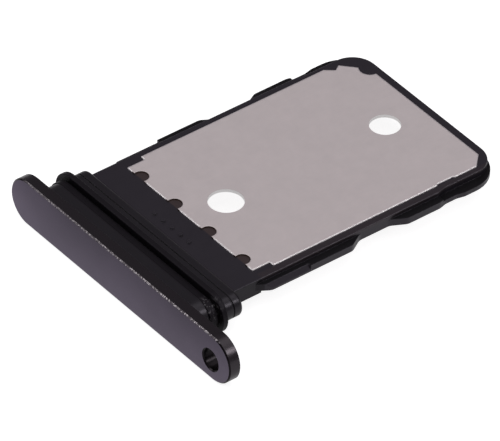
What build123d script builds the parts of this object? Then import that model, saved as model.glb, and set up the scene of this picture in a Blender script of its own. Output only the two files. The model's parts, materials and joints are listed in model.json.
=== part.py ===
"""Sim card tray of a phone: an anodised face cap, a moulded carrier frame with a seal round its
neck, and a thin steel base plate.

Millimetres. +X runs along the cap toward the eject hole, +Y is the way the tray goes into the
phone and +Z is up, away from the card. The card lies under the base plate. The origin is in the
middle of the tray's outline, at the height of the cap's lower edge.
"""
import os

from build123d import *

# Card that the tray carries, nano size, with one cut corner
card_width = 8.8
card_length = 12.3
card_thickness = 0.67
card_corner = 1.65
card_clearance = 0.05
pocket_corner_radius = 0.8

# Face cap and its eject hole
cap_length = 14.75
cap_height = 2.24
cap_thickness = 0.565
cap_front_chamfer = 0.06
cap_back_chamfer = 0.03
eject_hole_diameter = 0.98
eject_hole_inset = 1.28
eject_hole_drop = 0.17
eject_hole_chamfer = 0.06

# Tongue on the back of the cap, which the neck is moulded over
tongue_width = 8.0
tongue_height = 0.4
tongue_length = 1.5

# Place of the neck and of the frame behind the cap
neck_offset = 0.98
frame_offset = 1.07
neck_mid_height = 1.06
plate_top_height = 1.51

# Neck, seal groove and collar
neck_width = 10.7
neck_height = 1.6
neck_length = 0.75
groove_width = 10.36
groove_height = 1.0
collar_width = 10.84
collar_height = 1.18
collar_length = 0.98
collar_front_fillet = 0.05
collar_back_fillet = 0.16
collar_line_place = 0.44
collar_line_width = 0.07
collar_line_depth = 0.05

# Seal ring: a low front lip, a gap, and a taller back lip that leans over the gap
seal_width = 0.72
seal_height = 0.5
seal_clearance = 0.01
front_lip_width = 0.37
front_lip_height = 0.26
lip_gap_width = 0.15
lip_gap_floor = 0.08
back_lip_place = 0.45
back_lip_land = 0.08
lip_round = 0.04

# Base plate
plate_thickness = 0.15
plate_proud = 0.05
plate_lap = 0.09
plate_front_step = 0.25
plate_front_step_length = 0.9
plate_far_chamfer = 0.56
plate_hole_near_diameter = 1.56
plate_hole_near_place = 1.91
plate_hole_far_diameter = 1.36
plate_hole_far_place = 10.35
notch_count = 4
notch_pitch = 2.27
notch_diameter = 0.68
notch_depth = 0.44
side_step = 0.07
side_step_start = 9.55
side_step_end = 10.5

# Edge of the plate round the card's cut corner: in from the plate's left side, and back from its
# far edge. The first stretch is an arc.
corner_arc = ((1.52, 0), (1.2, 0.42), (0.76, 0.34))
corner_edge = ((0.13, 0.92), (0.32, 1.22), (0, 1.62))

# Deck, block under it and rails
deck_length = 1.47
rail_width = 0.35
rail_depth = 0.6
rail_top_radius = 0.04
end_rail_width = 0.44
end_ledge_width = 0.03
rail_corner_radius = 1.12
tail_step = 0.09
tail_start = 9.35
tail_end = 9.75

# Guide lobes along the foot of the rails: reach out from the rail, and place along the tray from
# the plate's front edge
lobe_reach = 0.37
waist_reach = 0.28
guide_points = ((0, -0.3), (lobe_reach, 0.3), (lobe_reach, 4.52), (0, 5.15), (0, 6.75),
                (lobe_reach, 7.45), (lobe_reach, 9.15), (waist_reach, 9.5), (waist_reach, 10.1),
                (lobe_reach, 10.5))
lobe_round = 0.45
foot_chamfer = 0.02
ledge_drop = 0.25
far_ledge_drop = 0.36
far_ledge_start = 9.35
lead_bevel_width = 0.15
lead_bevel_height = 0.22
lead_bevel_end = 2.3

# Raised pips that the mould leaves on the deck
pip_count = 5
pip_pitch = 0.58
pip_diameter = 0.2
pip_height = 0.05
pip_place = 0.55

# Worked out from the sizes above
pocket_width = card_width + 2 * card_clearance
pocket_length = card_length + 2 * card_clearance
plate_length = pocket_length - 2 * plate_lap
total_length = (cap_thickness + neck_length + seal_width + collar_length + deck_length
                + plate_length + end_rail_width)
neck_x = -neck_offset
frame_x = -frame_offset
front_y = -total_length / 2
neck_y = front_y + cap_thickness
seal_y = neck_y + neck_length
collar_y = seal_y + seal_width
deck_y = collar_y + collar_length
plate_y = deck_y + deck_length
frame_end = plate_length + end_rail_width
plate_bottom = plate_top_height - plate_thickness
deck_top = plate_top_height - plate_proud
ledge_height = plate_top_height - ledge_drop
far_ledge_height = plate_top_height - far_ledge_drop
rail_bottom = plate_top_height - rail_depth
block_bottom = plate_bottom - card_thickness
plate_half = pocket_width / 2
rail_half = plate_half + rail_width
rail_end = frame_end - end_ledge_width
foot_half = rail_half + lobe_reach
tail_half = rail_half - tail_step


def across(x, y, height):
    """An upright plane that faces the front of the cap."""
    return Plane(origin=(x, y, height), x_dir=(1, 0, 0), z_dir=(0, -1, 0))


def level(height):
    """A level plane with its origin over the middle of the plate's front edge."""
    return Plane(origin=(frame_x, plate_y, height))


# Face cap: a stadium bar with chamfered edges, the eject hole and a tongue on its back
with BuildPart() as face_cap:
    with BuildSketch(across(0, neck_y, cap_height / 2)):
        SlotOverall(cap_length, cap_height)
    extrude(amount=cap_thickness)
    chamfer(face_cap.edges().group_by(Axis.Y)[0], cap_front_chamfer)
    chamfer(face_cap.edges().group_by(Axis.Y)[-1], cap_back_chamfer)
    with Locations(across(cap_length / 2 - eject_hole_inset, front_y,
                          cap_height / 2 - eject_hole_drop)):
        CounterSinkHole(eject_hole_diameter / 2, eject_hole_diameter / 2 + eject_hole_chamfer,
                        cap_thickness, counter_sink_angle=90)
    with BuildSketch(across(neck_x, neck_y, neck_mid_height)) as tongue:
        Rectangle(tongue_width, tongue_height)
    extrude(amount=-tongue_length)
face_cap.part.label = "face_cap"


# Base plate: a stamped sheet with stepped corners, one of them cut back along the card's corner
front_half = plate_half - plate_front_step
step_half = plate_half - side_step
arc_ends = [(inset - plate_half, plate_length - back) for inset, back in corner_arc]
edge_ends = [(inset - plate_half, plate_length - back) for inset, back in corner_edge]
with BuildSketch() as plate_outline:
    with BuildLine():
        Polyline((-front_half, 0), (front_half, 0), (front_half, plate_front_step_length),
                 (plate_half, plate_front_step_length), (plate_half, side_step_start),
                 (step_half, side_step_start + side_step), (step_half, side_step_end - side_step),
                 (plate_half, side_step_end), (plate_half, plate_length - plate_far_chamfer),
                 (plate_half - plate_far_chamfer, plate_length), arc_ends[0])
        ThreePointArc(*arc_ends)
        Polyline(arc_ends[-1], *edge_ends, (-plate_half, plate_front_step_length),
                 (-front_half, plate_front_step_length), (-front_half, 0))
    make_face()
    with Locations((0, notch_depth - notch_diameter / 2)):
        with GridLocations(notch_pitch, 1, notch_count, 1):
            Circle(notch_diameter / 2, mode=Mode.SUBTRACT)

with BuildPart() as base_plate:
    with BuildSketch(level(plate_bottom)):
        add(plate_outline.sketch)
        with Locations((0, plate_hole_near_place)):
            Circle(plate_hole_near_diameter / 2, mode=Mode.SUBTRACT)
        with Locations((0, plate_hole_far_place)):
            Circle(plate_hole_far_diameter / 2, mode=Mode.SUBTRACT)
    extrude(amount=plate_thickness)
base_plate.part.label = "base_plate"


# Outlines of the carrier frame, seen from above: its foot with the guide lobes, its rails, and
# the card's pocket
with BuildSketch() as foot_outline:
    with BuildLine():
        side_points = [(rail_half + reach, place) for reach, place in guide_points]
        first_place = guide_points[0][1]
        Polyline((0, first_place), *side_points, (foot_half, frame_end), (0, frame_end),
                 (0, first_place))
    make_face()
    far_corner = foot_outline.vertices().group_by(Axis.Y)[-1].sort_by(Axis.X)[-1:]
    bends = foot_outline.vertices().filter_by(lambda v: v.X > 0.5 * rail_half) - far_corner
    fillet(bends.sort_by(Axis.Y)[1:], lobe_round)
    fillet(foot_outline.vertices().group_by(Axis.Y)[-1].sort_by(Axis.X)[-1:],
           rail_corner_radius + tail_step + lobe_reach)
    mirror(about=Plane.YZ)

with BuildSketch() as rail_outline:
    with BuildLine():
        Polyline((0, -deck_length), (rail_half, -deck_length), (rail_half, tail_start),
                 (tail_half, tail_end), (tail_half, rail_end), (0, rail_end),
                 (0, -deck_length))
    make_face()
    fillet(rail_outline.vertices().group_by(Axis.Y)[-1].sort_by(Axis.X)[-1:], rail_corner_radius)
    mirror(about=Plane.YZ)

with BuildSketch() as card_pocket:
    with Locations((0, plate_length / 2)):
        Rectangle(pocket_width, pocket_length)
    cut_corner = card_pocket.vertices().group_by(Axis.Y)[-1].sort_by(Axis.X)[0]
    fillet(card_pocket.vertices() - [cut_corner], pocket_corner_radius)
    chamfer(card_pocket.vertices().filter_by(
        lambda v: v.X < 0.001 - plate_half and v.Y > plate_length), card_corner)

# Collar behind the seal, rounded on both edges, with a fine line round it
with BuildPart() as collar:
    with BuildSketch(across(neck_x, deck_y, neck_mid_height)):
        SlotOverall(collar_width, collar_height)
    extrude(amount=collar_length)
    fillet(collar.edges().group_by(Axis.Y)[0], collar_front_fillet)
    fillet(collar.edges().group_by(Axis.Y)[-1], collar_back_fillet)
    with BuildSketch(across(neck_x, deck_y - collar_line_place, neck_mid_height)):
        SlotOverall(2 * collar_width, 2 * collar_height)
        SlotOverall(collar_width - 2 * collar_line_depth, collar_height - 2 * collar_line_depth,
                    mode=Mode.SUBTRACT)
    extrude(amount=collar_line_width, mode=Mode.SUBTRACT)


# Carrier frame: the rails with their guide lobes, the deck, the collar and the neck in one moulding
with BuildPart() as carrier_frame:
    # Foot of the rails, with a low ledge at the far end and a higher one along the first lobes
    with BuildSketch(level(rail_bottom)):
        add(foot_outline.sketch)
    extrude(amount=far_ledge_height - rail_bottom)
    chamfer(carrier_frame.edges().group_by(Axis.Z)[0].sort_by(Axis.Y)[1:], foot_chamfer)
    with BuildSketch(level(far_ledge_height)):
        add(foot_outline.sketch)
        with Locations((0, far_ledge_start)):
            Rectangle(4 * foot_half, frame_end, align=(Align.CENTER, Align.MIN),
                      mode=Mode.SUBTRACT)
    extrude(amount=ledge_height - far_ledge_height)

    # Bevel along the front stretch of the first lobe, on both sides
    with BuildSketch(across(frame_x, plate_y + first_place, ledge_height)):
        for way in (-1, 1):
            with BuildLine():
                Polyline((way * (foot_half - lead_bevel_width), 0), (way * foot_half, 0),
                         (way * foot_half, -lead_bevel_height),
                         (way * (foot_half - lead_bevel_width), 0))
            make_face()
    extrude(amount=first_place - lead_bevel_end, mode=Mode.SUBTRACT)

    # Upper part of the rails and the deck, with a rounded outer edge
    with BuildSketch(level(far_ledge_height)):
        add(rail_outline.sketch)
    extrude(amount=deck_top - far_ledge_height)
    fillet(carrier_frame.edges().group_by(Axis.Z)[-1].sort_by(Axis.Y)[1:], rail_top_radius)

    # Block under the deck, as deep as the card
    with BuildSketch(level(block_bottom)):
        Rectangle(2 * rail_half, deck_length, align=(Align.CENTER, Align.MAX))
    extrude(amount=far_ledge_height - block_bottom)
    chamfer(carrier_frame.edges().group_by(Axis.Z)[0].sort_by(Axis.Y)[1:], foot_chamfer)

    # Collar, core of the seal's groove, and neck
    add(collar.part)
    with BuildSketch(across(neck_x, collar_y, neck_mid_height)):
        SlotOverall(groove_width, groove_height)
    extrude(amount=seal_width)
    with BuildSketch(across(neck_x, seal_y, neck_mid_height)):
        SlotOverall(neck_width, neck_height)
    extrude(amount=neck_length)

    # Seat of the cap's tongue
    with BuildSketch(across(neck_x, neck_y, neck_mid_height)):
        add(tongue.sketch_local)
    extrude(amount=-tongue_length, mode=Mode.SUBTRACT)

    # Window that the plate closes, and the card's pocket under it
    with BuildSketch(level(plate_bottom)):
        add(plate_outline.sketch)
    extrude(amount=rail_depth, mode=Mode.SUBTRACT)
    with BuildSketch(level(block_bottom)):
        add(card_pocket.sketch)
    extrude(amount=card_thickness, mode=Mode.SUBTRACT)

    # Pips on the deck
    with BuildSketch(level(deck_top)):
        with Locations((0, pip_place - deck_length)):
            with GridLocations(pip_pitch, 1, pip_count, 1):
                Circle(pip_diameter / 2)
    extrude(amount=pip_height)
carrier_frame.part.label = "carrier_frame"


# Seal ring: its section is drawn on top of the groove, run across, and turned round each end
straight = groove_width - groove_height
end_x = neck_x + straight / 2
with BuildPart() as seal_ring:
    with BuildSketch(Plane(origin=(end_x, seal_y, neck_mid_height + groove_height / 2),
                           x_dir=(0, 1, 0), z_dir=(1, 0, 0))) as lips:
        with BuildLine():
            Polyline((0, seal_clearance), (0, front_lip_height),
                     (front_lip_width, front_lip_height), (front_lip_width, lip_gap_floor),
                     (front_lip_width + lip_gap_width, lip_gap_floor),
                     (back_lip_place, seal_height - back_lip_land), (back_lip_place, seal_height),
                     (seal_width, seal_height), (seal_width, seal_clearance), (0, seal_clearance))
        make_face()
        fillet(lips.vertices().filter_by(lambda v: abs(v.Y - front_lip_height) < 0.001), lip_round)
        fillet(lips.vertices().group_by(Axis.Y)[-1], lip_round)
    extrude(amount=-straight)
    revolve(lips.sketch, axis=Axis((end_x, seal_y, neck_mid_height), (0, 1, 0)), revolution_arc=180)
    mirror(about=Plane.XY.offset(neck_mid_height))
    mirror(about=Plane.YZ.offset(neck_x))
seal_ring.part.label = "seal_ring"

os.makedirs("parts", exist_ok=True)
for piece in (face_cap, carrier_frame, base_plate, seal_ring):
    export_step(piece.part, "parts/" + piece.part.label + ".step")
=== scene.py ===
"""Sim card tray of a phone: finishes of its four pieces, pale floor, soft studio light, camera."""
import json
import math

import bpy
from bpy.props import FloatProperty, FloatVectorProperty, PointerProperty
from bpy.types import Operator, Panel, PropertyGroup
from mathutils import Matrix, Vector


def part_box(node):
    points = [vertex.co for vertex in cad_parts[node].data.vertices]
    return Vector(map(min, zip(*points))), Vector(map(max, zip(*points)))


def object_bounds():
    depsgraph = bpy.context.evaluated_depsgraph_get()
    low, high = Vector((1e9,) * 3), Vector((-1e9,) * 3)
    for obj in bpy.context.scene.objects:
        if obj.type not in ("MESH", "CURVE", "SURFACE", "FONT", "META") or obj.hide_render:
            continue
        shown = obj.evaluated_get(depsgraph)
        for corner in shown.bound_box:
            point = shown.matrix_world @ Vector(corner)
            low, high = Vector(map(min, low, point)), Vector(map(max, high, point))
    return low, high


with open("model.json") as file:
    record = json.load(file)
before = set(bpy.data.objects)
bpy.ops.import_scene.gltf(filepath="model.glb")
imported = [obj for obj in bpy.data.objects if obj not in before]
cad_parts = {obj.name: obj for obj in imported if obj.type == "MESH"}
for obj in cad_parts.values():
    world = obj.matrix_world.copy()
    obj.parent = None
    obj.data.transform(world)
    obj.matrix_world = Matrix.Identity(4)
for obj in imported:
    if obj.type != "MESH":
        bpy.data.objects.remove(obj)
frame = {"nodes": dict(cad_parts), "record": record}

bl_info = {
    "name": "Sim card tray",
    "version": (1, 0, 0),
    "blender": (4, 5, 0),
    "location": "3D View > Sidebar > Card tray",
    "description": "Finishes of a phone's sim card tray, with its floor, lamps and camera",
    "category": "Object",
}

CAD_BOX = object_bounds()
RECORD_COLOURS = {m["slot"]: tuple(m["base_color"]) for m in frame["record"]["materials"]}
NODES = {name.split(".")[0]: obj for name, obj in frame["nodes"].items()}

# Ways along the tray: toward the eject hole, into the phone, out of the cap's face, and up
RIGHT = (1.0, 0.0, 0.0)
INWARD = (0.0, 1.0, 0.0)
OUTWARD = (0.0, -1.0, 0.0)
UP = (0.0, 0.0, 1.0)

WHITE = (1.0, 1.0, 1.0)
MM_PER_METRE = 1000.0
BEVEL_SAMPLES = 6


# Shader maths

class Socket:
    """A shader socket that takes part in plain arithmetic. Each operator adds its Math node."""

    def __init__(self, finish, output):
        self.finish = finish
        self.output = output

    def math(self, operation, *values, clamp=False):
        settings = {"operation": operation, "use_clamp": clamp}
        return self.finish.node("ShaderNodeMath", settings, dict(enumerate(values)))

    def __add__(self, other):
        return self.math("ADD", self, other)

    __radd__ = __add__

    def __sub__(self, other):
        return self.math("SUBTRACT", self, other)

    def __rsub__(self, other):
        return self.math("SUBTRACT", other, self)

    def __mul__(self, other):
        return self.math("MULTIPLY", self, other)

    __rmul__ = __mul__

    def __truediv__(self, other):
        return self.math("DIVIDE", self, other)

    def __rtruediv__(self, other):
        return self.math("DIVIDE", other, self)

    def __pow__(self, other):
        return self.math("POWER", self, other)

    def __rpow__(self, other):
        return self.math("POWER", other, self)

    def clamped(self):
        """This value held between 0 and 1."""
        return self.math("ADD", self, 0.0, clamp=True)

    def past(self, start, over):
        """0 up to a start, rising to 1 over so much more."""
        return ((self - start) / over).clamped()

    def before(self, end, over):
        """0 from an end on, rising to 1 over so much less."""
        return ((end - self) / over).clamped()


class Finish:
    """The node tree of one material or of the world."""

    def __init__(self, owner):
        owner.use_nodes = True
        self.tree = owner.node_tree
        self.tree.nodes.clear()

    def node(self, kind, settings=None, inputs=None, output=0):
        """Adds a node: its type, its settings, set first, and its sockets' values or links."""
        made = self.tree.nodes.new(kind)
        for name, value in (settings or {}).items():
            if name == "stops":
                self.set_stops(made.color_ramp, value)
            else:
                setattr(made, name, value)
        for name, value in (inputs or {}).items():
            if isinstance(value, Socket):
                self.tree.links.new(value.output, made.inputs[name])
            else:
                made.inputs[name].default_value = value
        return Socket(self, made.outputs[output]) if made.outputs else None

    @staticmethod
    def set_stops(ramp, stops):
        """Gives a colour ramp its stops as (place, grey level) pairs."""
        while len(ramp.elements) < len(stops):
            ramp.elements.new(0.5)
        for element, (place, level) in zip(ramp.elements, stops):
            element.position = place
            element.color = (level, level, level, 1)

    def millimetres(self):
        """Place on the piece in millimetres."""
        place = self.node("ShaderNodeTexCoord", output="Object")
        return self.node("ShaderNodeVectorMath", {"operation": "SCALE"},
                         {0: place, "Scale": MM_PER_METRE})

    def stretched(self, place, x, y, z):
        """The place with each way multiplied, which draws noise out or flattens a distance."""
        return self.node("ShaderNodeVectorMath", {"operation": "MULTIPLY"},
                         {0: place, 1: (x, y, z)})

    def dot(self, first, second):
        """Dot product of two vectors."""
        return self.node("ShaderNodeVectorMath", {"operation": "DOT_PRODUCT"},
                         {0: first, 1: second}, output="Value")

    def along(self, place, way):
        """How far along one way the place lies, in millimetres."""
        return self.dot(place, way)

    def facing(self, way):
        """How far the flat face looks one way: 1 straight at it, -1 straight back."""
        return self.dot(self.node("ShaderNodeNewGeometry", output="True Normal"), way)

    def smooth_normal(self):
        """Normal of the surface with its edges left sharp."""
        return self.node("ShaderNodeNewGeometry", output="Normal")

    def noise(self, place, per_mm, detail=2.0, roughness=0.5):
        """Noise between 0 and 1, with so many grains to the millimetre."""
        return self.node("ShaderNodeTexNoise", {"noise_dimensions": "3D"},
                         {"Vector": place, "Scale": per_mm, "Detail": detail,
                          "Roughness": roughness})

    def ramp(self, value, stops):
        """The value through a ramp of (place, grey level) stops."""
        return self.node("ShaderNodeValToRGB", {"stops": stops}, {"Fac": value})

    def patches(self, place, per_mm, start, end, detail=2.0, roughness=0.5):
        """Noise cut into patches: 0 where it is below a start, 1 where it is past an end."""
        return self.ramp(self.noise(place, per_mm, detail, roughness),
                         ((start, 0.0), (end, 1.0)))

    def spot(self, place, centre, radius, softness):
        """1 within a radius of a point, falling to 0 over the softness. All in millimetres."""
        away = self.node("ShaderNodeVectorMath", {"operation": "DISTANCE"}, {0: place, 1: centre},
                         output="Value")
        return away.before(radius + softness, softness)

    def mix(self, share, first, second):
        """Two colours mixed by a share."""
        first, second = (colour if isinstance(colour, Socket) else (*colour, 1.0)
                         for colour in (first, second))
        return self.node("ShaderNodeMix", {"data_type": "RGBA"},
                         {0: share, 6: first, 7: second}, output=2)

    def mix_normals(self, share, first, second):
        """Two normals mixed by a share."""
        return self.node("ShaderNodeMix", {"data_type": "VECTOR"},
                         {0: share, 4: first, 5: second}, output=1)

    def mix_values(self, share, first, second):
        """Two plain values mixed by a share."""
        return first + share * (second - first)

    def rounded_edges(self, radius):
        """Normal of the surface with its edges rounded to a radius."""
        return self.node("ShaderNodeBevel", {"samples": BEVEL_SAMPLES}, {"Radius": radius})

    def edge_mask(self, rounded, gain):
        """1 along the edges, falling to 0 on the faces."""
        return ((1 - self.dot(rounded, self.smooth_normal())) * gain).clamped()

    def bump(self, height, strength, distance, normal):
        """Normal with a fine relief. The distance is the height of the relief."""
        return self.node("ShaderNodeBump", None, {"Strength": strength, "Distance": distance,
                                                  "Height": height, "Normal": normal})

    def ray(self, kind):
        """1 for rays of one kind, such as Camera, and 0 for the rest."""
        return self.node("ShaderNodeLightPath", output=f"Is {kind} Ray")

    def shader(self, **inputs):
        """A surface shader with these inputs."""
        named = {name.replace("_", " "): value for name, value in inputs.items()}
        return self.node("ShaderNodeBsdfPrincipled", None, named)

    def close(self, shader):
        """Ends the material with its shader."""
        self.node("ShaderNodeOutputMaterial", None, {"Surface": shader})


def material(name):
    """A new material and its finish."""
    made = bpy.data.materials.new(name)
    return made, Finish(made)


def dress(node, made):
    """Gives a piece of the tray its material."""
    piece = NODES.get(node)
    if piece is None:
        raise RuntimeError("no piece named " + node)
    if not piece.material_slots:
        piece.data.materials.append(made)
    for place in piece.material_slots:
        place.material = made


def shades(colour, *shares):
    """Deeper and paler shades of a colour, each channel held to 1."""
    return [tuple(min(1.0, share * c) for c in colour) for share in shares]


# Places along the tray in millimetres: the plate's corners, the deck's length and front edge, and
# the height under which the rails' ledges lie
PLATE_LOW, PLATE_HIGH = (MM_PER_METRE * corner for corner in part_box(NODES["base_plate"].name))
PLATE_MIDDLE = (PLATE_LOW.x + PLATE_HIGH.x) / 2
DECK_LENGTH = 1.47
DECK_FRONT = PLATE_LOW.y - DECK_LENGTH
LEDGE_DROP = 0.15
LEDGE_TOP = PLATE_HIGH.z - LEDGE_DROP

# Half-round notches in the plate's front edge, and the stained rim round each, in millimetres
NOTCH_COUNT = 4
NOTCH_PITCH = 2.27
NOTCH_RADIUS = 0.36
NOTCH_INSET = 0.1
NOTCH_RIM = 0.1

# Round holes in the plate: how far each lies behind the front edge, its radius, and the band round
# it that has no rounded edge, in millimetres
PLATE_HOLES = ((1.91, 0.78), (10.35, 0.68))
HOLE_BAND = 0.15

# Eject hole in the cap, in millimetres
EJECT_HOLE = next(m for m in frame["record"]["mounts"] if m["name"] == "eject_hole")
EJECT_CENTRE = (MM_PER_METRE * EJECT_HOLE["pos_m"][0], 0.0, MM_PER_METRE * EJECT_HOLE["pos_m"][2])
EJECT_MARGIN = 0.02
EJECT_RADIUS = EJECT_HOLE["dims"]["r_mm"] + EJECT_MARGIN

# Rubbed end of the seal's front lip, its grey part scuffs and part painted glint, in millimetres
RUBBED_GLINT_PLACE = (4.1, -7.1, 1.6)
RUBBED_GLINT_RADIUS = 0.35
RUBBED_GLINT_SOFTNESS = 0.3

# Widths over which masks fade, in millimetres
SHARP, CLOSE, SOFT, WIDE = 0.02, 0.03, 0.05, 0.1

# Stops on how far a flat face looks one way: squarely, as a chamfer does, and roughly. The last
# stops are on the square of how far it looks up, and pick the faces that stand upright
SQUARE_ON = ((0.86, 0.0), (0.96, 1.0))
ON_CHAMFER = ((0.5, 0.0), (0.62, 1.0), (0.8, 1.0), (0.9, 0.0))
ROUGHLY_ON = ((0.7, 0.0), (0.85, 1.0))
UPRIGHT = ((0.1, 1.0), (0.5, 0.0))

# Tint of the reflections on black plastic and rubber
BLACK_TINT = (0.95, 0.88, 1.0, 1.0)

# Deepest and palest shade of each piece's colour, as shares of it
# On the face cap the palest shade is partly painted light low on the face
DYE_SHADES = (0.86, 1.75)
PLASTIC_SHADES = (0.6, 1.0)
STEEL_SHADES = (0.93, 1.3)
RUBBER_SHADES = (0.8, 1.3)


def notches(finish, place, rim=0.0):
    """1 in the notches of the plate's front edge, with so wide a rim round each."""
    first = PLATE_MIDDLE - NOTCH_PITCH * (NOTCH_COUNT - 1) / 2
    centres = [(first + NOTCH_PITCH * n, PLATE_LOW.y + NOTCH_INSET, PLATE_HIGH.z)
               for n in range(NOTCH_COUNT)]
    return sum(finish.spot(place, centre, NOTCH_RADIUS + rim, SOFT) for centre in centres)


def plate_holes(finish, place):
    """1 in the plate's round holes and in a band round each."""
    holes = [((PLATE_MIDDLE, PLATE_LOW.y + back, PLATE_HIGH.z), radius)
             for back, radius in PLATE_HOLES]
    return sum(finish.spot(place, centre, radius + HOLE_BAND, SOFT) for centre, radius in holes)


# Sizes and colours that a user would change

class CapSettings(PropertyGroup):
    """Blasted, dye-coloured metal of the face cap, with painted light, painted shade and a painted
    glint.
    """
    dye: FloatVectorProperty(name="Dye", description="Colour of the dyed metal", subtype="COLOR",
                             size=3, min=0, max=1, default=RECORD_COLOURS["anodised_cap"])
    # Pale grains along the top chamfer, part bare metal and part painted glint
    worn_and_glint_colour: FloatVectorProperty(name="Edge colour", description="Paler metal along the cut edges",
                              subtype="COLOR", size=3, min=0, max=1, default=(0.56, 0.52, 0.54))
    wear_and_glint: FloatProperty(name="Edge wear", subtype="FACTOR", min=0, max=1, default=0.4,
                        description="How bare the grains of the cut edge are, at its middle")
    rim: FloatVectorProperty(name="Rim colour", description="Colour of the milled rim",
                             subtype="COLOR", size=3, min=0, max=1,
                             default=(0.052, 0.046, 0.051))
    # Painted shade in the eject hole and on the chamfer, as a share of the rim's colour
    painted_hole_and_chamfer_shade: FloatProperty(name="Hole shade", subtype="FACTOR", min=0, max=1, default=0.3,
                              description="Depth of the colour in the eject hole, against the rim")
    gloss: FloatProperty(name="Roughness", description="Roughness of the blasted face",
                         subtype="FACTOR", min=0, max=1, default=0.42)
    rim_gloss: FloatProperty(name="Rim roughness", description="Roughness of the milled rim",
                             subtype="FACTOR", min=0, max=1, default=0.27)
    grain: FloatProperty(name="Grain", description="Blasted grains to the millimetre", min=1,
                         max=100, default=22)
    edge_grain: FloatProperty(name="Edge grain", min=1, max=100, default=11,
                              description="Bare grains to the millimetre of the cut edge")
    relief: FloatProperty(name="Relief", description="Height of the blasted grains",
                          subtype="DISTANCE", unit="LENGTH", precision=6, default=0.000004)
    crown: FloatProperty(name="Crown", description="How far the face bulges along its middle",
                         subtype="DISTANCE", unit="LENGTH", precision=6, default=0.00006)
    edge: FloatProperty(name="Edge radius", description="Rounding of the cap's edges",
                        subtype="DISTANCE", unit="LENGTH", precision=6, default=0.00003)


class PlasticSettings(PropertyGroup):
    """Moulded plastic of the carrier frame."""
    colour: FloatVectorProperty(name="Colour", description="Colour of the moulded plastic",
                                subtype="COLOR", size=3, min=0, max=1,
                                default=RECORD_COLOURS["black_plastic"])
    # Brownish tone in the notches and on the rail beside the plate
    notch_tint: FloatVectorProperty(name="Notch colour", description="Brownish skin in the notches",
                               subtype="COLOR", size=3, min=0, max=1,
                               default=(0.033, 0.0215, 0.019))
    # Near-black matt skin; on the ledges and the block it is painted shade
    matt_and_painted_shade_colour: FloatVectorProperty(name="Matt colour", description="Colour of the matt skin",
                                     subtype="COLOR", size=3, min=0, max=1,
                                     default=(0.002, 0.002, 0.002))
    collar_shade: FloatProperty(name="Collar shade", subtype="FACTOR", min=0, max=1, default=0.25,
                                description="Depth of the colour on the neck and collar")
    # Shares of matt skin: on the ledges and the block they are painted shade
    ledge_painted_shade: FloatProperty(name="Matt ledges", subtype="FACTOR", min=0, max=1, default=0.75,
                              description="Share of matt skin on the rails' ledges")
    block_painted_shade: FloatProperty(name="Matt block", subtype="FACTOR", min=0, max=1, default=0.45,
                              description="Share of matt skin on the right side under the deck")
    collar_matt: FloatProperty(name="Matt collar", subtype="FACTOR", min=0, max=1, default=0.2,
                               description="Share of matt skin on the neck and collar")
    gloss: FloatProperty(name="Roughness", description="Roughness of the moulded faces",
                         subtype="FACTOR", min=0, max=1, default=0.32)
    matt_gloss: FloatProperty(name="Matt roughness", description="Roughness of the matt skin",
                              subtype="FACTOR", min=0, max=1, default=0.6)
    sheen: FloatProperty(name="Sheen", description="Strength of the plastic's reflections",
                         subtype="FACTOR", min=0, max=1, default=0.5)
    matt_sheen: FloatProperty(name="Matt sheen", subtype="FACTOR", min=0, max=1, default=0.08,
                              description="Strength of the matt skin's reflections")
    grain: FloatProperty(name="Grain", description="Grains of the mould to the millimetre", min=1,
                         max=100, default=14)
    relief: FloatProperty(name="Relief", description="Height of the mould's grain",
                          subtype="DISTANCE", unit="LENGTH", precision=6, default=0.000003)
    edge: FloatProperty(name="Edge radius", description="Rounding of the moulded edges",
                        subtype="DISTANCE", unit="LENGTH", precision=6, default=0.00004)


class SteelSettings(PropertyGroup):
    """Satin sheet of the base plate."""
    colour: FloatVectorProperty(name="Colour", description="Colour of the steel sheet",
                                subtype="COLOR", size=3, min=0, max=1,
                                default=RECORD_COLOURS["steel_plate"])
    # Darker, brownish sides in the notches
    notch_colour: FloatVectorProperty(name="Notch colour", subtype="COLOR", size=3, min=0, max=1,
                                      description="Stained metal in the front edge's notches",
                                      default=(0.08, 0.055, 0.045))
    # Painted highlight along the stamped edges and on the cut sides
    edge_highlight_colour: FloatVectorProperty(name="Edge colour", description="Bare metal of the cut edges",
                                    subtype="COLOR", size=3, min=0, max=1,
                                    default=(0.9, 0.87, 0.87))
    # Painted reflection: the holes' walls made near white
    wall_reflection_colour: FloatVectorProperty(name="Hole colour", subtype="COLOR", size=3, min=0, max=1,
                                     description="Bright metal of the round holes' walls",
                                     default=(0.98, 0.97, 0.97))
    gloss: FloatProperty(name="Roughness", description="Roughness of the satin sheet",
                         subtype="FACTOR", min=0, max=1, default=0.75)
    edge_polish: FloatProperty(name="Edge polish", subtype="FACTOR", min=0, max=1, default=0.33,
                               description="How much smoother the cut edges are than the sheet")
    wall_polish: FloatProperty(name="Hole polish", subtype="FACTOR", min=0, max=1, default=0.65,
                               description="How much smoother the holes' walls are than the sheet")
    relief: FloatProperty(name="Relief", description="Height of the rolling marks",
                          subtype="DISTANCE", unit="LENGTH", precision=6, default=0.000002)
    edge: FloatProperty(name="Edge radius", description="Rounding of the stamped edges",
                        subtype="DISTANCE", unit="LENGTH", precision=6, default=0.0001)


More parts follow.
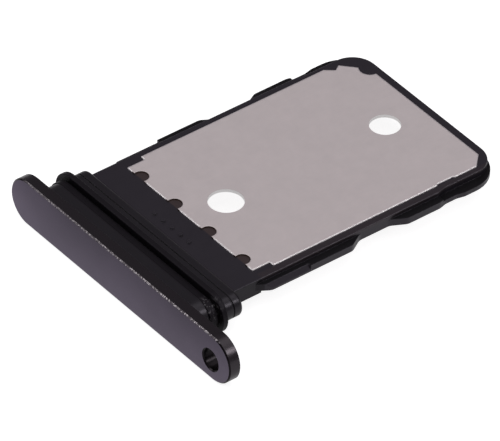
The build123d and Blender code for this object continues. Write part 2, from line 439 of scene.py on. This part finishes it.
class RubberSettings(PropertyGroup):
    """Soft matt rubber of the seal."""
    colour: FloatVectorProperty(name="Colour", description="Colour of the rubber",
                                subtype="COLOR", size=3, min=0, max=1,
                                default=RECORD_COLOURS["seal_rubber"])
    # Grey at the front lip's end, part scuffs and part painted glint
    rubbed_glint: FloatVectorProperty(name="Rubbed colour", description="Grey of the rubbed lip",
                                subtype="COLOR", size=3, min=0, max=1,
                                default=(0.11, 0.105, 0.11))
    gloss: FloatProperty(name="Roughness", description="Roughness of the rubber",
                         subtype="FACTOR", min=0, max=1, default=0.45)
    sheen: FloatProperty(name="Sheen", description="Strength of the rubber's reflections",
                         subtype="FACTOR", min=0, max=1, default=0.14)
    relief: FloatProperty(name="Relief", description="Height of the skin's unevenness",
                          subtype="DISTANCE", unit="LENGTH", precision=6, default=0.000006)
    edge: FloatProperty(name="Edge radius", description="Rounding of the lips' edges",
                        subtype="DISTANCE", unit="LENGTH", precision=6, default=0.00003)


class StageSettings(PropertyGroup):
    """Floor, lamps and camera."""
    floor_colour: FloatVectorProperty(name="Floor", description="Colour of the floor",
                                      subtype="COLOR", size=3, min=0, max=1,
                                      default=(0.45, 0.45, 0.45))
    floor_size: FloatProperty(name="Floor size", description="Width of the floor",
                              subtype="DISTANCE", unit="LENGTH", default=3.0)
    floor_gap: FloatProperty(name="Floor gap", subtype="DISTANCE", unit="LENGTH", precision=6,
                             description="Height of the tray above the floor, so that they "
                                         "don't share a plane", default=0.00002)
    floor_glow: FloatProperty(name="Floor lift", min=0, max=1, default=0.85, subtype="FACTOR",
                              description="How much paler than lit the floor shows")
    mirror_glow: FloatProperty(name="Lift in mirrors", min=0, max=1, default=0.4,
                               subtype="FACTOR",
                               description="How much paler than lit the floor shows in gloss")
    room: FloatVectorProperty(name="Room", description="Grey of the room round the lamps",
                              subtype="COLOR", size=3, min=0, max=1,
                              default=(0.25, 0.232, 0.255))
    lamp_level: FloatProperty(name="Lamp level", description="Share of the lamps' full level",
                              subtype="FACTOR", min=0, max=2, default=1.0)
    target: FloatVectorProperty(name="Target", description="Point that the camera looks at",
                                subtype="TRANSLATION", unit="LENGTH", precision=6, size=3,
                                default=(0.0005519, -0.0021909, 0.0015277))
    distance: FloatProperty(name="Distance", description="From the camera to its target",
                            subtype="DISTANCE", unit="LENGTH", default=0.3701)
    azimuth: FloatProperty(name="Azimuth", description="Way round the tray from its front",
                           subtype="ANGLE", default=math.radians(51.12))
    elevation: FloatProperty(name="Elevation", description="Angle of the view above the floor",
                             subtype="ANGLE", default=math.radians(39.05))
    roll: FloatProperty(name="Roll", description="Turn of the camera about its own axis",
                        subtype="ANGLE", default=math.radians(1.21))
    lens: FloatProperty(name="Lens", description="Focal length", subtype="DISTANCE_CAMERA",
                        default=645.84)


# Face cap. How much paler the face is made by painted light low on it, by clouds and toward both
# ends, and how much more of the ends' paleness at the left end. How fast the painted light comes
# in downward. How much barer the cut edge, part wear and part painted glint, is toward the hole,
# and how much of the chamfer's painted shade that edge loses. How much of the relief the rim
# keeps, and how much roughness comes with the grains and with bareness
PAINTED_LOW_LIGHT, PALE_CLOUDS, PALE_ENDS, PALE_LEAN = 0.8, 0.15, 0.27, 0.13
PAINTED_LIGHT_FALL = 1.3
WEAR_AND_GLINT_LEAN = 0.25
EDGE_LIGHT = 0.35
RIM_RELIEF = 0.12
GRAIN_GLOSS, BARE_GLOSS = 0.12, 0.1


class TRAY_OT_finish_cap(Operator):
    """Dyed, blasted metal on the face cap, with painted light low on its face, painted shade on
    its chamfer and in its hole, and a fine pale top edge that is part wear and part painted glint
    """
    bl_idname = "tray.finish_cap"
    bl_label = "Finish the face cap"

    def execute(self, context):
        settings = context.scene.tray_cap
        made, finish = material("anodised_cap")
        place = finish.millimetres()
        low, high = (MM_PER_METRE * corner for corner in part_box(NODES["face_cap"].name))

        # Where the surface is: the blasted face, the chamfer round it and its top, the hole, and
        # how far up from the cap's middle or toward its right end, from -1 to 1
        outward = finish.facing(OUTWARD)
        face = finish.ramp(outward, SQUARE_ON)
        chamfer = finish.ramp(outward, ON_CHAMFER)
        height = finish.along(place, UP)
        top_edge = height.past(high.z - WIDE, SHARP)
        bore = finish.spot(finish.stretched(place, x=1.0, y=0.0, z=1.0), EJECT_CENTRE,
                           EJECT_RADIUS, CLOSE)
        crown = (height - (low.z + high.z) / 2) / ((high.z - low.z) / 2)
        across = finish.along(place, RIGHT) / high.x

        # Dye that pales in clouds and toward both ends, painted light that pales it toward the
        # lower edge, a dark rim with painted shade on the chamfer and in the hole, and a top
        # chamfer of pale grains that are part wear and part painted glint
        clouds = finish.patches(place, per_mm=0.4, start=0.35, end=0.65)
        # Painted light: the face pales toward its lower edge
        painted_low_light = ((1 - crown) * 0.5).clamped() ** PAINTED_LIGHT_FALL
        ends = across ** 4
        paled_and_lit = (PAINTED_LOW_LIGHT * painted_low_light + PALE_CLOUDS * clouds
                 + (PALE_ENDS - PALE_LEAN * across) * ends)
        dyed_and_lit = finish.mix(paled_and_lit.clamped(), *shades(settings.dye, *DYE_SHADES))
        # Painted shade on the chamfer, less of it on the chamfer's top, and in the eject hole
        painted_shade = (bore + chamfer * (1 - EDGE_LIGHT * top_edge)).clamped()
        rim = finish.mix(painted_shade, *shades(settings.rim, 1.0, settings.painted_hole_and_chamfer_shade))
        # Pale grains on the top chamfer: part wear, part painted glint
        grains = finish.patches(place, settings.edge_grain, start=0.5, end=0.64, roughness=0.8)
        bared_and_glint = grains * chamfer * top_edge
        wear_and_glint = ((settings.wear_and_glint + WEAR_AND_GLINT_LEAN * across) * bared_and_glint).clamped()
        shade = finish.mix(wear_and_glint, finish.mix(face, rim, dyed_and_lit), tuple(settings.worn_and_glint_colour))

        blasted = finish.noise(place, settings.grain, detail=3.0, roughness=0.7)
        gloss = finish.mix_values(face, settings.rim_gloss, settings.gloss)
        crowned = finish.bump(face * (1 - crown * crown), strength=1.0, distance=settings.crown,
                              normal=finish.rounded_edges(settings.edge))
        relief = finish.bump(blasted * (RIM_RELIEF + (1 - RIM_RELIEF) * face), strength=0.6,
                             distance=settings.relief, normal=crowned)
        finish.close(finish.shader(
            Base_Color=shade, Metallic=1.0, Normal=relief,
            Roughness=gloss + GRAIN_GLOSS * face * (blasted - 0.5) + BARE_GLOSS * bared_and_glint))
        dress("face_cap", made)
        return {"FINISHED"}


# Carrier frame. How much paler the flow marks and scuffed edges make it, how much of the notches'
# brownish tone the rail beside the plate has, and how much roughness comes with the flow and the
# grain
FLOW_PALE, SCUFF_PALE = 0.5, 0.5
RAIL_TINT = 0.3
FLOW_GLOSS, MOULD_GLOSS = 0.16, 0.1
PLASTIC_EDGE_GAIN = 4.0


class TRAY_OT_finish_frame(Operator):
    """Black moulded plastic with a fine grain on the carrier frame"""
    bl_idname = "tray.finish_frame"
    bl_label = "Finish the carrier frame"

    def execute(self, context):
        settings = context.scene.tray_plastic
        made, finish = material("black_plastic")
        place = finish.millimetres()
        across, depth, height = (finish.along(place, way) for way in (RIGHT, INWARD, UP))

        # Where the surface is: the neck and collar, past the plate's front edge, low on the rails,
        # on a ledge, on the block's right side under the deck, and on the rail beside the plate
        collar = depth.before(DECK_FRONT, WIDE)
        past_edge = depth.past(PLATE_LOW.y, SOFT)
        low = height.before(LEDGE_TOP, SOFT)
        ledge = low * finish.ramp(finish.facing(UP), ROUGHLY_ON)
        block = finish.ramp(finish.facing(RIGHT), ROUGHLY_ON) * (1 - past_edge)
        beside = across.past(PLATE_HIGH.x, SOFT) * (1 - low)

        # Flow marks and scuffed edges, a darker collar, and a brownish tone in the notches and
        # beside the plate
        flow = finish.noise(finish.stretched(place, x=0.9, y=0.25, z=0.9), per_mm=0.8, detail=3.0,
                            roughness=0.6)
        scuffs = finish.patches(place, per_mm=3.2, start=0.58, end=0.7, detail=4.0,
                                roughness=0.75)
        rounded = finish.rounded_edges(settings.edge)
        edges = finish.edge_mask(rounded, PLASTIC_EDGE_GAIN)
        deep, pale, darkest = shades(settings.colour, *PLASTIC_SHADES, settings.collar_shade)
        moulded = finish.mix((FLOW_PALE * flow + SCUFF_PALE * edges * scuffs).clamped(), deep,
                             pale)
        shaded = finish.mix(collar, moulded, darkest)
        tinted = ((notches(finish, place) + RAIL_TINT * beside) * past_edge).clamped()
        shade = finish.mix(tinted, shaded, tuple(settings.notch_tint))

        # Glossy skin, with a share of near-black matt skin on the collar, and on the ledges and
        # the block as painted shade
        grain = finish.noise(place, settings.grain, detail=3.0, roughness=0.6)
        relief = finish.bump(grain, strength=0.5, distance=settings.relief, normal=rounded)
        glossy = finish.shader(
            Base_Color=shade, Normal=relief, Specular_IOR_Level=settings.sheen,
            Specular_Tint=BLACK_TINT,
            Roughness=settings.gloss + FLOW_GLOSS * (flow - 0.5) + MOULD_GLOSS * (grain - 0.5))
        # Near-black matt skin, painted shade on the ledges and the block
        matt = finish.shader(Base_Color=(*settings.matt_and_painted_shade_colour, 1.0), Normal=relief,
                             Roughness=settings.matt_gloss, Specular_IOR_Level=settings.matt_sheen)
        share = (settings.collar_matt * collar + (1 - collar)
                 * (settings.ledge_painted_shade * ledge + settings.block_painted_shade * block)).clamped()
        finish.close(finish.node("ShaderNodeMixShader", None, {0: share, 1: glossy, 2: matt}))
        dress("carrier_frame", made)
        return {"FINISHED"}


# Base plate. How much paler the mottling and the rolling marks make it, how much of each is in
# the relief, and how much roughness comes with each
MOTTLE_PALE, ROLL_PALE = 0.3, 0.2
FINE_RELIEF, ROLL_RELIEF = 0.6, 0.4
ROLL_GLOSS, MOTTLE_GLOSS = 0.08, 0.05
STEEL_EDGE_GAIN = 9.0


class TRAY_OT_finish_plate(Operator):
    """Satin steel sheet with rolling marks on the base plate, painted highlights on its stamped
    edges and cut sides, and a painted reflection on its holes' walls
    """
    bl_idname = "tray.finish_plate"
    bl_label = "Finish the base plate"

    def execute(self, context):
        settings = context.scene.tray_steel
        made, finish = material("steel_plate")
        place = finish.millimetres()

        # Where the surface is: in or round a notch, in or round a hole, on a cut side, and along
        # an edge that is neither
        notched = notches(finish, place, NOTCH_RIM).clamped()
        punched = plate_holes(finish, place).clamped()
        up = finish.facing(UP)
        cut = finish.ramp(up * up, UPRIGHT)
        rounded = finish.rounded_edges(settings.edge)
        edges = finish.edge_mask(rounded, STEEL_EDGE_GAIN) * (1 - notched) * (1 - punched)
        walls = punched * cut

        # Rolled and mottled sheet, painted highlights on the edges and cut sides, polished hole
        # walls made near white as a painted reflection, and darker brownish sides in the notches
        rolled = finish.noise(finish.stretched(place, x=14.0, y=0.9, z=14.0), per_mm=1.0,
                              detail=4.0, roughness=0.6)
        mottled = finish.noise(place, per_mm=1.6, detail=4.0, roughness=0.65)
        sheet = finish.mix((MOTTLE_PALE * mottled + ROLL_PALE * rolled).clamped(),
                           *shades(settings.colour, *STEEL_SHADES))
        # Painted highlight on the edges and cut sides
        bright = finish.mix((edges + cut * (1 - notched)).clamped(), sheet,
                            tuple(settings.edge_highlight_colour))
        # Painted reflection on the holes' walls
        walled = finish.mix(walls, bright, tuple(settings.wall_reflection_colour))
        # Darker, brownish sides in the notches
        shade = finish.mix(notched * cut, walled, tuple(settings.notch_colour))

        fine = finish.noise(place, per_mm=26.0, roughness=0.6)
        normal = finish.mix_normals(punched, rounded, finish.smooth_normal())
        relief = finish.bump(FINE_RELIEF * fine + ROLL_RELIEF * rolled, strength=0.5,
                             distance=settings.relief, normal=normal)
        finish.close(finish.shader(
            Base_Color=shade, Metallic=1.0, Normal=relief,
            Roughness=settings.gloss + ROLL_GLOSS * (rolled - 0.5) + MOTTLE_GLOSS * (mottled - 0.5)
            - settings.edge_polish * edges - settings.wall_polish * walls))
        dress("base_plate", made)
        return {"FINISHED"}


# Seal ring. How much of the skin's unevenness and of the grain is in the relief, and how much
# roughness comes with the unevenness
SKIN_RELIEF, GRAIN_RELIEF = 0.6, 0.4
SKIN_GLOSS = 0.2


class TRAY_OT_finish_seal(Operator):
    """Soft matt rubber on the seal ring, with a grey patch at the front lip's end that is part
    scuffs and part painted glint
    """
    bl_idname = "tray.finish_seal"
    bl_label = "Finish the seal ring"

    def execute(self, context):
        settings = context.scene.tray_rubber
        made, finish = material("seal_rubber")
        place = finish.millimetres()
        skin = finish.noise(place, per_mm=4.0, detail=3.0, roughness=0.6)
        grain = finish.noise(place, per_mm=18.0)
        # Grey patch at the front lip's end: part scuffs, part painted glint
        rubbed_glint = finish.spot(place, RUBBED_GLINT_PLACE, RUBBED_GLINT_RADIUS, RUBBED_GLINT_SOFTNESS)
        scuffs = finish.patches(place, per_mm=7.0, start=0.55, end=0.62, detail=3.0,
                                roughness=0.7)
        black = finish.mix(skin, *shades(settings.colour, *RUBBER_SHADES))
        shade = finish.mix(rubbed_glint * scuffs, black, tuple(settings.rubbed_glint))
        relief = finish.bump(SKIN_RELIEF * skin + GRAIN_RELIEF * grain, strength=0.5,
                             distance=settings.relief,
                             normal=finish.rounded_edges(settings.edge))
        finish.close(finish.shader(
            Base_Color=shade, Normal=relief, Specular_IOR_Level=settings.sheen,
            Specular_Tint=BLACK_TINT, Roughness=settings.gloss + SKIN_GLOSS * (skin - 0.5)))
        dress("seal_ring", made)
        return {"FINISHED"}


# Lamps: the way to each from the tray, its distance, width and height in metres, and the level at
# which its face shines
LAMPS = {
    "overhead_softbox": ((0.1, -0.05, 1.0), 0.6, 0.85, 0.8, 0.98),
    "left_softbox": ((-0.6, -0.63, 0.49), 0.6, 0.2, 0.24, 3.6),
    "right_softbox": ((0.63, 0.49, 0.6), 0.6, 0.15, 0.15, 7.0),
}

# Camera: the width of its film in millimetres, and how near and far it sees in metres
FILM_WIDTH = 36
NEAREST, FARTHEST = 0.01, 10


class TRAY_OT_build_stage(Operator):
    """Pale floor, soft lamps, the room's light and the camera"""
    bl_idname = "tray.build_stage"
    bl_label = "Build the stage"

    def execute(self, context):
        scene, settings = context.scene, context.scene.tray_stage
        self.build_floor(scene, settings)
        self.build_room(scene, settings)
        for name, (way, distance, width, height, level) in LAMPS.items():
            self.hang_lamp(scene, name, Vector(way).normalized() * distance, width, height,
                           level * settings.lamp_level)
        self.build_camera(scene, settings)
        scene.view_settings.view_transform = "Standard"
        return {"FINISHED"}

    def build_floor(self, scene, settings):
        half = settings.floor_size / 2
        level = CAD_BOX[0].z - settings.floor_gap
        mesh = bpy.data.meshes.new("floor")
        mesh.from_pydata([(x, y, level) for x, y in ((-half, -half), (half, -half), (half, half),
                                                     (-half, half))], [], [(0, 1, 2, 3)])
        floor = bpy.data.objects.new("floor", mesh)
        scene.collection.objects.link(floor)
        made, finish = material("pale_floor")
        mirrored = (finish.ray("Glossy") + finish.ray("Transmission")).clamped()
        lift = finish.ray("Camera") * settings.floor_glow + mirrored * settings.mirror_glow
        paper = finish.node("ShaderNodeBsdfDiffuse", None,
                            {"Color": (*settings.floor_colour, 1.0)})
        glow = finish.node("ShaderNodeEmission", None, {"Color": (*WHITE, 1.0), "Strength": lift})
        finish.close(finish.node("ShaderNodeAddShader", None, {0: paper, 1: glow}))
        mesh.materials.append(made)

    def build_room(self, scene, settings):
        scene.world = scene.world or bpy.data.worlds.new("room")
        finish = Finish(scene.world)
        shade = finish.mix(finish.ray("Camera"), tuple(settings.room), WHITE)
        light = finish.node("ShaderNodeBackground", None, {"Color": shade})
        finish.node("ShaderNodeOutputWorld", None, {"Surface": light})

    def hang_lamp(self, scene, name, place, width, height, level):
        lamp = bpy.data.lights.new(name, "AREA")
        lamp.shape = "RECTANGLE"
        lamp.size = width
        lamp.size_y = height
        lamp.energy = level * math.pi * width * height
        holder = bpy.data.objects.new(name, lamp)
        holder.location = place
        holder.rotation_euler = (-place).to_track_quat("-Z", "Y").to_euler()
        scene.collection.objects.link(holder)

    def build_camera(self, scene, settings):
        azimuth, elevation, roll = settings.azimuth, settings.elevation, settings.roll
        back = Vector((math.sin(azimuth) * math.cos(elevation),
                       -math.cos(azimuth) * math.cos(elevation), math.sin(elevation)))
        level = Vector((math.cos(azimuth), math.sin(azimuth), 0))
        upright = back.cross(level)
        right = math.cos(roll) * level + math.sin(roll) * upright
        up = math.cos(roll) * upright - math.sin(roll) * level
        camera = bpy.data.objects.new("camera", bpy.data.cameras.new("camera"))
        camera.data.lens = settings.lens
        camera.data.sensor_width = FILM_WIDTH
        camera.data.clip_start = NEAREST
        camera.data.clip_end = FARTHEST
        camera.matrix_world = Matrix((right, up, back)).transposed().to_4x4()
        camera.matrix_world.translation = Vector(settings.target) + settings.distance * back
        scene.collection.objects.link(camera)
        scene.camera = camera


class TRAY_PT_sidebar(Panel):
    """Lists the tray's finishes and its stage"""
    bl_label = "Card tray"
    bl_space_type = "VIEW_3D"
    bl_region_type = "UI"
    bl_category = "Card tray"

    def draw(self, context):
        for name, (kind, operator) in GROUPS.items():
            part = self.layout.box()
            part.label(text=operator.bl_label)
            group = getattr(context.scene, name)
            for setting in kind.__annotations__:
                part.prop(group, setting)
            part.operator(operator.bl_idname)


GROUPS = {
    "tray_cap": (CapSettings, TRAY_OT_finish_cap),
    "tray_plastic": (PlasticSettings, TRAY_OT_finish_frame),
    "tray_steel": (SteelSettings, TRAY_OT_finish_plate),
    "tray_rubber": (RubberSettings, TRAY_OT_finish_seal),
    "tray_stage": (StageSettings, TRAY_OT_build_stage),
}


def register():
    for name, (kind, operator) in GROUPS.items():
        bpy.utils.register_class(kind)
        bpy.utils.register_class(operator)
        setattr(bpy.types.Scene, name, PointerProperty(type=kind))
    bpy.utils.register_class(TRAY_PT_sidebar)


def unregister():
    bpy.utils.unregister_class(TRAY_PT_sidebar)
    for name, (kind, operator) in reversed(GROUPS.items()):
        delattr(bpy.types.Scene, name)
        bpy.utils.unregister_class(operator)
        bpy.utils.unregister_class(kind)


def main():
    register()
    bpy.ops.tray.finish_cap()
    bpy.ops.tray.finish_frame()
    bpy.ops.tray.finish_plate()
    bpy.ops.tray.finish_seal()
    bpy.ops.tray.build_stage()


if __name__ == "__main__":
    main()
